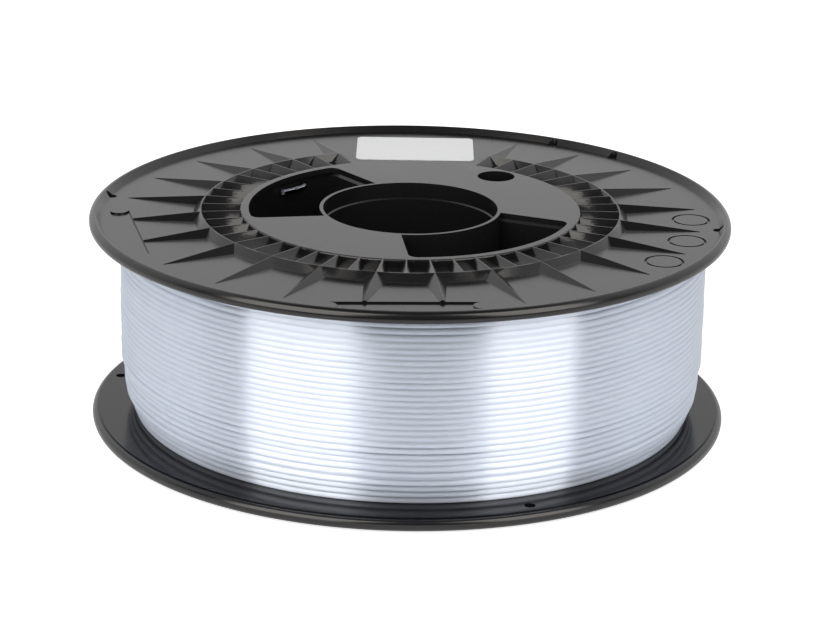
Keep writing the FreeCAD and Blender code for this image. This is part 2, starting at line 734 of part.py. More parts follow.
def round_tube(edges, diameter):
    """A round solid swept along a smooth route of edges."""
    route = Part.Wire(edges)
    first = edges[0]
    start = first.valueAt(first.FirstParameter)
    way = first.tangentAt(first.FirstParameter)
    section = Part.Wire([Part.Circle(start, way, diameter / 2).toShape()])
    shell = Part.BRepOffsetAPI.MakePipeShell(route)
    shell.add(section)
    shell.build()
    shell.makeSolid()
    return shell.shape()


def route_points(edges, step):
    """Points along a route, about step apart."""
    points = []
    for edge in edges:
        count = max(2, int(math.ceil(edge.Length / step)) + 1)
        points += edge.discretize(Number=count)[:-1]
    return points


def least_gap(edges, diameter, apart=40):
    """The least free gap between stretches of a tube that are so many diameters apart along it."""
    step, reach = diameter / 4, 2 * diameter
    skip = int(apart * diameter / step)
    points = route_points(edges, step)
    cells = {}
    for index, point in enumerate(points):
        cell = tuple(int(math.floor(c / reach)) for c in point)
        cells.setdefault(cell, []).append(index)
    least = float("inf")
    for (i, j, k), here in cells.items():
        near = [n for di in (-1, 0, 1) for dj in (-1, 0, 1) for dk in (-1, 0, 1)
                for n in cells.get((i + di, j + dj, k + dk), ())]
        for index in here:
            for other in near:
                if other - index > skip:
                    least = min(least, (points[index] - points[other]).Length)
    return least - diameter


def winding_meridian(doc):
    """The middle of the outer layer in section, from the top turn down to the last one.

    Three points as (radius, height): the wall stands upright, then slopes in at the bottom.
    """
    size = {word: value_of(doc, word) for word in DIMENSIONS}
    wire = size["filament_diameter"]
    offset = wire / 2 - size["layer_sink"]
    base = size["hub_height"]
    wall = size["winding_radius"] - wire
    foot = size["winding_foot_radius"] - wire
    slope_height = size["winding_slope_height"]
    slope_length = math.hypot(wall - foot, slope_height)
    out_r, out_z = slope_height / slope_length, -(wall - foot) / slope_length
    top = (wall + offset, size["spool_width"] - size["hub_height"] - size["loop_top_margin"])
    # The offset wall and the offset slope meet where both are offset from the corner.
    lift = offset * (1 - out_r) / out_z
    corner = (wall + offset, base + slope_height + lift)
    low = size["loop_end_height"]
    along = (low - out_z * offset) / slope_height
    bottom = (foot + out_r * offset + along * (wall - foot), base + low)
    return top, corner, bottom


def meridian_point(meridian, share):
    """The point of the meridian at a share of its length."""
    lengths = [math.hypot(b[0] - a[0], b[1] - a[1]) for a, b in zip(meridian, meridian[1:])]
    left = share * sum(lengths)
    for (a, b), length in zip(zip(meridian, meridian[1:]), lengths):
        if left <= length or b is meridian[-1]:
            part = left / length
            return a[0] + (b[0] - a[0]) * part, a[1] + (b[1] - a[1]) * part
        left -= length
    return meridian[-1]


def outer_layer_route(doc):
    """The outer layer's route: out of the layer below at the top, round and down, into its hole."""
    wire, bend = value_of(doc, "filament_diameter"), value_of(doc, "wire_bend")
    meridian = winding_meridian(doc)
    first_radius, first_height = meridian[0]
    last_radius = meridian[-1][0]
    free_length = math.sqrt(value_of(doc, "lower_tuck_circle") ** 2 - last_radius ** 2)
    hole_turn = math.radians(LOWER_TUCK_AZIMUTHS[END_HOLE])
    end_turn = math.radians(value_of(doc, "outer_start_azimuth"))
    first_turn = end_turn + bend / first_radius
    last_turn = hole_turn - math.atan2(free_length, last_radius)
    sweep = last_turn - first_turn + 2 * math.pi * value_of(doc, "outer_loops")

    def place(share):
        radius, height = meridian_point(meridian, share)
        turn = first_turn + share * sweep
        return V(radius * math.cos(turn), radius * math.sin(turn), height)

    # The direction at each quarter turn is taken across a short nudge either side of it.
    quarters = round(sweep / (math.pi / 2))
    nudge = 0.02 / quarters
    nodes = [place(n / quarters) for n in range(quarters + 1)]
    ways = [place(min(1.0, n / quarters + nudge)) - place(max(0.0, n / quarters - nudge))
            for n in range(quarters + 1)]
    ways[-1] = V(-math.sin(last_turn), math.cos(last_turn), 0)

    # The first end points straight in at the spool's axis, a little behind the first turn.
    out, lift = V(math.cos(end_turn), math.sin(end_turn), 0), V(0, 0, first_height)
    bend_start = out * (first_radius - bend) + lift
    edges = [Part.LineSegment(bend_start - out * wire, bend_start).toShape()]
    edges += biarc(bend_start, out, nodes[0], ways[0])
    for here, there, way, next_way in zip(nodes, nodes[1:], ways, ways[1:]):
        edges += biarc(here, way, there, next_way)
    # The last end leaves the turns straight, bends down over its hole and runs into it.
    level, down, last_bend = ways[-1], V(0, 0, -1), value_of(doc, "hole_bend")
    bend_corner = nodes[-1] + level * free_length
    bend_begin, bend_end = bend_corner - level * last_bend, bend_corner + down * last_bend
    edges.append(Part.LineSegment(nodes[-1], bend_begin).toShape())
    edges.append(corner_arc(bend_begin, bend_corner, bend_end))
    edges.append(Part.LineSegment(bend_end, bend_end + down * wire).toShape())
    return edges


def add_feature(doc, name, shape):
    """A sub-part whose shape is worked out from the sheet's values."""
    feature = doc.addObject("Part::Feature", name)
    feature.Label = name
    feature.Shape = shape
    feature.Placement = FreeCAD.Placement()
    return feature


def make_outer_layer(doc):
    """The outermost layer of turns, one unbroken tube.

    Its loops are wider apart than the real ones, which touch: more of them make too fine a mesh.
    """
    wire = value_of(doc, "filament_diameter")
    edges = outer_layer_route(doc)
    shape = round_tube(edges, wire)
    length = sum(edge.Length for edge in edges)
    expected = math.pi * wire ** 2 / 4 * length
    print("outer layer: %.0f mm long, volume %.0f against %.0f, least gap to itself %.2f mm" % (
        length, shape.Volume, expected, least_gap(edges, wire)))
    return add_feature(doc, "filament_outer_layer", shape)


def make_start(doc):
    """The filament's first end, from the innermost turn through the notch and along the barrel."""
    wire = value_of(doc, "filament_diameter")
    turn = math.radians(value_of(doc, "notch_azimuth + hub_axis_azimuth"))
    out = V(math.cos(turn), math.sin(turn), 0)
    outside = value_of(doc, "barrel_inner_radius + barrel_wall")
    lift = V(0, 0, value_of(doc, "start_height"))
    points = [out * outside + lift, out * (outside - 2 * wire) + lift] + [V(*p) for p in START_ROUTE]
    edges = rounded_route(points, (wire, value_of(doc, "start_bend")))
    return add_feature(doc, "filament_start", round_tube(edges, wire))


def main():
    """Builds every sub-part, checks it and writes its STEP file."""
    doc = new_document()
    parts = [
        make_flange(doc, "upper_flange", UPPER_TUCK_AZIMUTHS, 1),
        make_flange(doc, "lower_flange", LOWER_TUCK_AZIMUTHS, -1),
        make_core(doc),
        make_inner_layers(doc),
        make_label(doc),
        make_outer_layer(doc),
        make_start(doc),
    ]
    doc.recompute()
    for item in doc.Objects:
        if "Invalid" in item.State or "Error" in item.State:
            raise RuntimeError("%s failed: %s" % (item.Name, item.State))
    os.makedirs("parts", exist_ok=True)
    for part in parts:
        shape = part.Shape
        if shape.isNull() or not shape.isValid():
            raise RuntimeError("%s has a bad shape" % part.Label)
        box = shape.BoundBox
        print("%-22s solids %d  volume %.1f  z %.2f..%.2f" % (
            part.Label, len(shape.Solids), shape.Volume, box.ZMin, box.ZMax))
        shape.exportStep("parts/%s.step" % part.Label)


main()
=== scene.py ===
"""The looks of a full filament spool: its black mouldings, the silky filament and the sticker.

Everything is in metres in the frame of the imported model: the spool's axis is +Z, and the camera
stands on the -Y side. Sizes are written in millimetres and turned to metres where a mesh is made.
"""

import logging
import math
from dataclasses import dataclass, field
from enum import Enum, IntEnum
from typing import Any, Optional, Sequence

import bpy
import numpy as np
from mathutils import Matrix, Vector

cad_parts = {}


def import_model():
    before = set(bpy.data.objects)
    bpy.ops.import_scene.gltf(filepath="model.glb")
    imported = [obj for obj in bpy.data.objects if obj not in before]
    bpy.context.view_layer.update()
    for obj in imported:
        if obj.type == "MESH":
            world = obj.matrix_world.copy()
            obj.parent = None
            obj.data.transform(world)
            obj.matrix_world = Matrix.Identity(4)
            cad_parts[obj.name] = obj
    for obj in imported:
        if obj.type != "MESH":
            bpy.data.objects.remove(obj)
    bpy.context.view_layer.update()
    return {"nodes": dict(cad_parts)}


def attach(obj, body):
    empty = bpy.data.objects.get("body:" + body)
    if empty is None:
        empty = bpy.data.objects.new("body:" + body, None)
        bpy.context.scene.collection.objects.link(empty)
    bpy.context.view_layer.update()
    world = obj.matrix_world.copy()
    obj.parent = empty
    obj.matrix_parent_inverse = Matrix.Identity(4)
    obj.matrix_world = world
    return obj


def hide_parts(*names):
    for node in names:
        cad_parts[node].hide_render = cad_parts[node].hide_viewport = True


MM = 0.001
IMAGE_WIDTH_PX = 823
WHITE = "#ffffff"

log = logging.getLogger("spool")


class Slot(Enum):
    """Names of the record's material slots. Nothing in this script uses them."""

    PLASTIC = "spool_plastic"
    FILAMENT = "filament"


class MixSocket(IntEnum):
    """Sockets of the Mix node by number, because their names repeat."""

    FACTOR = 0
    VECTOR_RESULT = 1
    COLOUR_RESULT = 2
    VECTOR_A = 4
    VECTOR_B = 5
    COLOUR_A = 6
    COLOUR_B = 7


def srgb(hex_colour: str) -> tuple[float, float, float, float]:
    """Turns an sRGB hex colour to linear.

    Args:
        hex_colour: six hex digits after a hash, such as "#a0b0c0".

    Returns:
        Linear red, green, blue and an alpha of 1.
    """
    parts = [int(hex_colour[i:i + 2], 16) / 255 for i in (1, 3, 5)]
    linear = [c / 12.92 if c <= 0.04045 else ((c + 0.055) / 1.055) ** 2.4 for c in parts]
    return (linear[0], linear[1], linear[2], 1.0)


def add_node(
    tree: bpy.types.NodeTree,
    kind: str,
    settings: Optional[dict[str | int, Any]] = None,
    links: Optional[dict[str | int, bpy.types.NodeSocket]] = None,
) -> bpy.types.Node:
    """Adds a node to a tree with its settings and links.

    Args:
        tree: the material's or world's node tree.
        kind: the node's type name.
        settings: property names, or input socket names or numbers, and their values.
        links: input socket names or numbers, and the sockets that feed them.

    Returns:
        The new node.
    """
    node = tree.nodes.new(kind)
    for name, value in (settings or {}).items():
        if isinstance(name, int) or name in node.inputs:
            node.inputs[name].default_value = value
        else:
            setattr(node, name, value)
    for name, source in (links or {}).items():
        tree.links.new(source, node.inputs[name])
    return node


def new_material(name: str) -> tuple[bpy.types.Material, bpy.types.NodeTree]:
    """Makes an empty node material.

    Args:
        name: the material's name.

    Returns:
        The material and its node tree.
    """
    material = bpy.data.materials.new(name)
    material.use_nodes = True
    material.node_tree.nodes.clear()
    return material, material.node_tree


@dataclass(frozen=True)
class EtchedPolystyrene:
    """High-impact polystyrene, injection moulded in black against a spark-etched tool.

    The fine etching leaves a satin gloss: faces seen flat on are near black, and faces seen at a
    low angle turn grey with what stands behind them.
    """

    name: str = "black_etched_polystyrene"
    colour: str = "#111113"
    flow_colour: str = "#151517"
    ior: float = 1.5
    roughness: float = 0.2
    roughness_spread: float = 0.03
    # The real etching is about 0.1 mm, too fine to show, so its grain is drawn coarser.
    grain_mm: float = 0.55
    grain_depth_mm: float = 0.003
    # The size of the faint clouds that the melt's flow leaves.
    flow_mm: float = 28.0

    def build(self) -> bpy.types.Material:
        """Makes the material.

        Returns:
            The material.
        """
        material, tree = new_material(self.name)
        place = add_node(tree, "ShaderNodeTexCoord").outputs["Object"]
        grain = add_node(
            tree, "ShaderNodeTexNoise",
            {"Scale": 1 / (self.grain_mm * MM), "Detail": 3.0, "Roughness": 0.6}, {"Vector": place})
        flow = add_node(
            tree, "ShaderNodeTexNoise",
            {"Scale": 1 / (self.flow_mm * MM), "Detail": 2.0}, {"Vector": place})
        colour = add_node(
            tree, "ShaderNodeMix",
            {"data_type": "RGBA", MixSocket.COLOUR_A: srgb(self.colour),
             MixSocket.COLOUR_B: srgb(self.flow_colour)},
            {MixSocket.FACTOR: flow.outputs["Fac"]})
        roughness = add_node(
            tree, "ShaderNodeMapRange",
            {"To Min": self.roughness - self.roughness_spread,
             "To Max": self.roughness + self.roughness_spread},
            {"Value": flow.outputs["Fac"]})
        bump = add_node(
            tree, "ShaderNodeBump",
            {"Strength": 1.0, "Distance": self.grain_depth_mm * MM},
            {"Height": grain.outputs["Fac"]})
        shader = add_node(
            tree, "ShaderNodeBsdfPrincipled", {"IOR": self.ior},
            {"Base Color": colour.outputs[MixSocket.COLOUR_RESULT],
             "Roughness": roughness.outputs["Result"], "Normal": bump.outputs["Normal"]})
        add_node(tree, "ShaderNodeOutputMaterial", None, {"Surface": shader.outputs["BSDF"]})
        return material


@dataclass(frozen=True)
class SilkPla:
    """PLA filament with pearl pigment, extruded and drawn.

    The mica in it lies along the drawn skin, whose fine lengthwise lines spread a lamp's light
    round the filament and hardly along it. A lamp shows as a white band straight across the turns.
    """

    name: str = "white_silk_pla"
    colour: str = "#cfd8e8"
    shade_colour: str = "#c9d2e3"
    ior: float = 1.46
    pearl: float = 0.62
    roughness: float = 0.35
    # How much wider the gloss spreads round the filament than along it.
    silkiness: float = 1.0
    # A quarter turn: the tangent runs along the filament, and the gloss spreads across it.
    silk_turn: float = 0.25
    # The length of the faint clouds in its colour.
    drawn_mm: float = 9.0
    # How far light strays inside the milky plastic, alike for red, green and blue.
    bleed: float = 0.6
    bleed_mm: float = 1.5
    bleed_parts: tuple[float, float, float] = (1.0, 1.0, 1.0)
    # How far the strayed light evens out the shading across a turn, 1 being wholly.
    evenness: float = 0.7

    def build(self) -> bpy.types.Material:
        """Makes the material.

        Returns:
            The material.
        """
        material, tree = new_material(self.name)
        place = add_node(tree, "ShaderNodeTexCoord").outputs["Object"]
        cloud = add_node(
            tree, "ShaderNodeTexNoise",
            {"Scale": 1 / (self.drawn_mm * MM), "Detail": 2.0}, {"Vector": place})
        colour = add_node(
            tree, "ShaderNodeMix",
            {"data_type": "RGBA", MixSocket.COLOUR_A: srgb(self.colour),
             MixSocket.COLOUR_B: srgb(self.shade_colour)},
            {MixSocket.FACTOR: cloud.outputs["Fac"]})
        along = add_node(tree, "ShaderNodeTangent", {"direction_type": "RADIAL", "axis": "Z"})
        shape = add_node(tree, "ShaderNodeNewGeometry").outputs["Normal"]
        # The way out from the spool's axis: a place without its height.
        level = add_node(
            tree, "ShaderNodeVectorMath", {"operation": "MULTIPLY", 1: (1.0, 1.0, 0.0)}, {0: place})
        outward = add_node(
            tree, "ShaderNodeVectorMath", {"operation": "NORMALIZE"}, {0: level.outputs["Vector"]})
        evened = add_node(
            tree, "ShaderNodeMix", {"data_type": "VECTOR", MixSocket.FACTOR: self.evenness},
            {MixSocket.VECTOR_A: shape, MixSocket.VECTOR_B: outward.outputs["Vector"]})
        shading = add_node(
            tree, "ShaderNodeVectorMath", {"operation": "NORMALIZE"},
            {0: evened.outputs[MixSocket.VECTOR_RESULT]})
        shader = add_node(
            tree, "ShaderNodeBsdfPrincipled",
            {"IOR": self.ior, "Metallic": self.pearl, "Roughness": self.roughness,
             "Anisotropic": self.silkiness, "Anisotropic Rotation": self.silk_turn,
             "Subsurface Weight": self.bleed, "Subsurface Radius": self.bleed_parts,
             "Subsurface Scale": self.bleed_mm * MM},
            {"Base Color": colour.outputs[MixSocket.COLOUR_RESULT],
             "Tangent": along.outputs["Tangent"], "Normal": shading.outputs["Vector"]})
        add_node(tree, "ShaderNodeOutputMaterial", None, {"Surface": shader.outputs["BSDF"]})
        return material


@dataclass(frozen=True)
class CoatedPaper:
    """White thermal label paper with a thin smooth coat, which gives it a faint sheen."""

    name: str = "white_label_paper"
    colour: str = "#d7dadf"
    fibre_colour: str = "#d0d3d8"
    ior: float = 1.5
    roughness: float = 0.42
    # Real fibres are too fine to show, so they are drawn coarser.
    fibre_mm: float = 0.8

    def build(self) -> bpy.types.Material:
        """Makes the material.

        Returns:
            The material.
        """
        material, tree = new_material(self.name)
        place = add_node(tree, "ShaderNodeTexCoord").outputs["Object"]
        fibre = add_node(
            tree, "ShaderNodeTexNoise",
            {"Scale": 1 / (self.fibre_mm * MM), "Detail": 3.0}, {"Vector": place})
        colour = add_node(
            tree, "ShaderNodeMix",
            {"data_type": "RGBA", MixSocket.COLOUR_A: srgb(self.colour),
             MixSocket.COLOUR_B: srgb(self.fibre_colour)},
            {MixSocket.FACTOR: fibre.outputs["Fac"]})
        shader = add_node(
            tree, "ShaderNodeBsdfPrincipled", {"IOR": self.ior, "Roughness": self.roughness},
            {"Base Color": colour.outputs[MixSocket.COLOUR_RESULT]})
        add_node(tree, "ShaderNodeOutputMaterial", None, {"Surface": shader.outputs["BSDF"]})
        return material


@dataclass
class Lamp:
    """A soft box of the studio.

    Attributes:
        name: its name.
        azimuth: where it stands round the spool, in degrees, 270 being the camera's side.
        elevation: how high it stands, in degrees above the floor.
        distance: from the point that it faces, in metres.
        width: of its face, in metres.
        height: of its face, in metres.
        radiance: how bright its face is, 1 being white.
        colour: the colour of its face.
    """

    name: str
    azimuth: float
    elevation: float
    distance: float
    width: float
    height: float
    radiance: float
    colour: str = "#fffaf2"

    def build(self, aim: Vector) -> None:
        """Adds the lamp, turned to face a point.

        Args:
            aim: the point that it faces.
        """
        data = bpy.data.lights.new(self.name, "AREA")
        data.shape = "RECTANGLE"
        data.size = self.width
        data.size_y = self.height
        data.color = srgb(self.colour)[:3]
        data.energy = self.radiance * math.pi * self.width * self.height
        lamp = bpy.data.objects.new(self.name, data)
        bpy.context.scene.collection.objects.link(lamp)
        turn, rise = math.radians(self.azimuth), math.radians(self.elevation)
        away = Vector((
            math.cos(turn) * math.cos(rise), math.sin(turn) * math.cos(rise), math.sin(rise)))
        lamp.location = aim + away * self.distance
        lamp.rotation_mode = "QUATERNION"
        lamp.rotation_quaternion = away.to_track_quat("Z", "Y")
        log.info("lamp %s", self.name)


@dataclass
class Studio:
    """The floor, the white surroundings, the lamps and the camera.

    The camera's numbers come from fitting the rims and the bore of the spool to the photograph.
    """

    camera_elevation: float = 18.926
    camera_roll: float = 0.914
    # How far it stands back, to its right and up, and then straight up.
    camera_distance_mm: float = 944.65
    camera_right_mm: float = 0.863
    camera_up_mm: float = 31.913
    camera_base_mm: float = 0.9
    focal_px: float = 2953.0
    sensor_mm: float = 36.0
    clip: tuple[float, float] = (0.01, 50.0)
    floor_size: float = 12.0
    # The table's front edge lies just out of the picture, and the studio is dark beyond it.
    floor_front: float = -0.26
    # The floor lies a hair under the spool, so that no two faces share a place.
    floor_drop: float = 0.0002
    floor_colour: str = "#e0e2e5"
    # How brightly the floor glows for the eye, and in the spool's gloss.
    floor_glow: float = 0.75
    floor_glow_mirrored: float = 0.15
    # The light from all round, and what the ceiling adds to it.
    ambient: float = 0.08
    ceiling: float = 0.5
    ceiling_edge: tuple[float, float] = (0.3, 0.95)
    # How bright the spool's gloss shows the dark studio, and the sweep behind the spool.
    dark_reflection: float = 0.03
    sweep_level: float = 0.88
    # Where the sweep fades, as parts of a direction's length.
    sweep_front: tuple[float, float] = (-0.35, 0.2)
    sweep_top: tuple[float, float] = (0.75, 0.95)
    # The height of the point on the spool's axis that the lamps face.
    aim_height: float = 0.035
    lamps: list[Lamp] = field(default_factory=lambda: [
        Lamp("left_soft_box", 229.0, 30.0, 1.4, 1.13, 1.62, 3.8),
        Lamp("right_soft_box", 316.5, 30.0, 1.4, 0.9, 1.62, 3.8),
    ])

    def build(self) -> None:
        """Builds the whole studio."""
        self.build_camera()
        self.build_floor()
        self.build_world()
        aim = Vector((0, 0, self.aim_height))
        for lamp in self.lamps:
            lamp.build(aim)
        settings = bpy.context.scene.view_settings
        settings.view_transform = "Standard"

    def build_camera(self) -> None:
        """Adds the camera at the photograph's angle."""
        rise, roll = math.radians(self.camera_elevation), math.radians(self.camera_roll)
        forward = Vector((0, math.cos(rise), -math.sin(rise)))
        right, up = Vector((1, 0, 0)), Vector((0, math.sin(rise), math.cos(rise)))
        place = (right * self.camera_right_mm + up * self.camera_up_mm
                 - forward * self.camera_distance_mm + Vector((0, 0, self.camera_base_mm))) * MM
        rolled_right = right * math.cos(roll) + up * math.sin(roll)
        rolled_up = up * math.cos(roll) - right * math.sin(roll)
        data = bpy.data.cameras.new("photo_camera")
        data.sensor_width = self.sensor_mm
        data.lens = self.focal_px * self.sensor_mm / IMAGE_WIDTH_PX
        data.clip_start, data.clip_end = self.clip
        camera = bpy.data.objects.new("photo_camera", data)
        bpy.context.scene.collection.objects.link(camera)
        axes = Matrix((rolled_right, rolled_up, -forward)).transposed()
        camera.matrix_world = Matrix.Translation(place) @ axes.to_4x4()
        bpy.context.scene.camera = camera
        log.info("camera lens %.1f mm", data.lens)

    def build_floor(self) -> None:
        """Adds the pale floor, which glows a little for the eye and keeps the spool's shadow."""
        half = self.floor_size / 2
        mesh = bpy.data.meshes.new("studio_floor")
        front = self.floor_front
        mesh.from_pydata([(-half, front, 0), (half, front, 0), (half, half, 0), (-half, half, 0)],
                         [], [(0, 1, 2, 3)])
        floor = bpy.data.objects.new("studio_floor", mesh)
        bpy.context.scene.collection.objects.link(floor)
        floor.location.z = -self.floor_drop
        material, tree = new_material("studio_floor_paper")
        path = add_node(tree, "ShaderNodeLightPath")
        seen = self.seen_ray(tree, path)
        paper = add_node(tree, "ShaderNodeBsdfDiffuse", {"Color": srgb(self.floor_colour)})
        strength = add_node(
            tree, "ShaderNodeMapRange",
            {"To Min": self.floor_glow, "To Max": self.floor_glow_mirrored},
            {"Value": path.outputs["Is Glossy Ray"]})
        glow = add_node(tree, "ShaderNodeEmission", None, {"Strength": strength.outputs["Result"]})
        lit = add_node(
            tree, "ShaderNodeAddShader", None,
            {0: paper.outputs["BSDF"], 1: glow.outputs["Emission"]})
        mix = add_node(
            tree, "ShaderNodeMixShader", None,
            {0: seen, 1: paper.outputs["BSDF"], 2: lit.outputs["Shader"]})
        add_node(tree, "ShaderNodeOutputMaterial", None, {"Surface": mix.outputs["Shader"]})
        mesh.materials.append(material)

    @staticmethod
    def seen_ray(tree: bpy.types.NodeTree, path: bpy.types.Node) -> bpy.types.NodeSocket:
        """Tells the rays that show a surface from those that only light one.

        Args:
            tree: the tree to add to.
            path: its Light Path node.

        Returns:
            A socket that is 1 for camera, glossy and transmission rays.
        """
        first = add_node(
            tree, "ShaderNodeMath", {"operation": "MAXIMUM"},
            {0: path.outputs["Is Camera Ray"], 1: path.outputs["Is Glossy Ray"]})
        both = add_node(
            tree, "ShaderNodeMath", {"operation": "MAXIMUM"},
            {0: first.outputs[0], 1: path.outputs["Is Transmission Ray"]})
        return both.outputs[0]

    def build_world(self) -> None:
        """Makes the surroundings: white to the eye, and in the gloss a sweep behind the spool."""
        world = bpy.data.worlds.new("studio_world")
        bpy.context.scene.world = world
        world.use_nodes = True
        tree = world.node_tree
        tree.nodes.clear()
        path = add_node(tree, "ShaderNodeLightPath")
        way = add_node(
            tree, "ShaderNodeSeparateXYZ", None,
            {0: add_node(tree, "ShaderNodeTexCoord").outputs["Generated"]})
        behind = add_node(
            tree, "ShaderNodeMapRange",
            {"From Min": self.sweep_front[0], "From Max": self.sweep_front[1],
             "interpolation_type": "SMOOTHSTEP"},
            {"Value": way.outputs["Y"]})
        below = add_node(
            tree, "ShaderNodeMapRange",
            {"From Min": self.sweep_top[0], "From Max": self.sweep_top[1],
             "To Min": 1.0, "To Max": 0.0, "interpolation_type": "SMOOTHSTEP"},
            {"Value": way.outputs["Z"]})
        share = add_node(
            tree, "ShaderNodeMath", {"operation": "MULTIPLY"},
            {0: behind.outputs["Result"], 1: below.outputs["Result"]})
        sweep = add_node(
            tree, "ShaderNodeMapRange",
            {"To Min": self.dark_reflection, "To Max": self.sweep_level},
            {"Value": share.outputs[0]})
        overhead = add_node(
            tree, "ShaderNodeMapRange",
            {"From Min": self.ceiling_edge[0], "From Max": self.ceiling_edge[1],
             "To Min": self.ambient, "To Max": self.ambient + self.ceiling},
            {"Value": way.outputs["Z"]})
        ambient = add_node(
            tree, "ShaderNodeBackground", {"Color": srgb(WHITE)},
            {"Strength": overhead.outputs["Result"]})
        mirrored = add_node(
            tree, "ShaderNodeBackground", {"Color": srgb(WHITE)},
            {"Strength": sweep.outputs["Result"]})
        white = add_node(tree, "ShaderNodeBackground", {"Color": srgb(WHITE), "Strength": 1.0})
        glossy = add_node(
            tree, "ShaderNodeMixShader", None,
            {0: path.outputs["Is Glossy Ray"], 1: ambient.outputs[0], 2: mirrored.outputs[0]})
        clear = add_node(
            tree, "ShaderNodeMath", {"operation": "MAXIMUM"},
            {0: path.outputs["Is Camera Ray"], 1: path.outputs["Is Transmission Ray"]})
        final = add_node(
            tree, "ShaderNodeMixShader", None,
            {0: clear.outputs[0], 1: glossy.outputs[0], 2: white.outputs[0]})
        add_node(tree, "ShaderNodeOutputWorld", None, {"Surface": final.outputs[0]})


def mesh_piece(
    name: str,
    points: np.ndarray,
    faces: Sequence[Sequence[int]],
    material: bpy.types.Material,
) -> bpy.types.Object:
    """Makes a smooth mesh object that rides on the spool.

    Args:
        name: the piece's name.
        points: its corners, in millimetres.
        faces: its faces, as corner numbers.
        material: its finish.

    Returns:
        The new object.
    """
    mesh = bpy.data.meshes.new(name)
    mesh.from_pydata((np.asarray(points) * MM).tolist(), [], faces)
    mesh.materials.append(material)
    mesh.shade_smooth()
    piece = bpy.data.objects.new(name, mesh)
    bpy.context.scene.collection.objects.link(piece)
    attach(piece, "root")
    log.info("%s: %d points, %d faces", name, len(points), len(faces))
    return piece


def tube(path: np.ndarray, radius: float, sides: int) -> tuple[np.ndarray, list[tuple[int, ...]]]:
    """Sweeps a round section along a path, with both ends closed.

    Args:
        path: the path's points, in millimetres.
        radius: the section's radius, in millimetres.
        sides: the section's number of sides.

    Returns:
        The points and the faces.
    """
    ways = np.gradient(path, axis=0)
    ways /= np.linalg.norm(ways, axis=1)[:, None]
    side = np.cross(ways[0], (0, 0, 1))
    side /= np.linalg.norm(side)
    turns = np.arange(sides) * 2 * math.pi / sides
    rings = []
    for point, way in zip(path, ways):
        side = side - way * side.dot(way)
        side /= np.linalg.norm(side)
        other = np.cross(way, side)
        ring = np.outer(np.cos(turns), side) + np.outer(np.sin(turns), other)
        rings.append(point + radius * ring)
    faces: list[tuple[int, ...]] = []
    last = (len(path) - 1) * sides
    for base in range(0, last, sides):
        for n in range(sides):
            following = (n + 1) % sides
            faces.append((base + n, base + following, base + sides + following, base + sides + n))
    faces.append(tuple(reversed(range(sides))))
    faces.append(tuple(range(last, last + sides)))
    return np.concatenate(rings), faces


def revolve(
    section: np.ndarray,
    columns: int,
    lean: np.ndarray | float = 0.0,
) -> tuple[np.ndarray, list[tuple[int, ...]]]:
    """Turns a closed section round the spool's axis.

    Args:
        section: its corners' radii and heights, in millimetres.
        columns: how many times it stands round the axis.
        lean: how far each corner's ring leans to the right, in millimetres.

    Returns:
        The points and the faces, which look out where the section runs upwards on its outside.
    """
    size = len(section)
    rings = []
    for angle in np.arange(columns) * 2 * math.pi / columns:
        reach = section[:, 0] + lean * math.cos(angle)
        rings.append(np.column_stack(
            [reach * math.cos(angle), reach * math.sin(angle), section[:, 1]]))
    faces: list[tuple[int, ...]] = []
    for column in range(columns):
        here, there = column * size, (column + 1) % columns * size
        for corner in range(size):
            after = (corner + 1) % size
            faces.append((here + corner, there + corner, there + after, here + after))
    return np.concatenate(rings), faces


def ease(share: np.ndarray) -> np.ndarray:
    """Eases a share between 0 and 1 in and out.

    Args:
        share: the shares, which are held between 0 and 1 first.

    Returns:
        The eased shares.
    """
    held = np.clip(share, 0, 1)
    return held * held * (3 - 2 * held)


def smooth_noise(turn: np.ndarray, waves: int, random: np.random.Generator) -> np.ndarray:
    """Noise along the filament.

    Args:
        turn: turns counted from the start.
        waves: how many times it varies in a turn.
        random: the source of its values.

    Returns:
        A value near 0 for each place.
    """
    knots = random.normal(size=int(turn[-1] * waves) + 3)
    place = turn * waves
    cell = place.astype(int)
    return knots[cell] + (knots[cell + 1] - knots[cell]) * ease(place - cell)


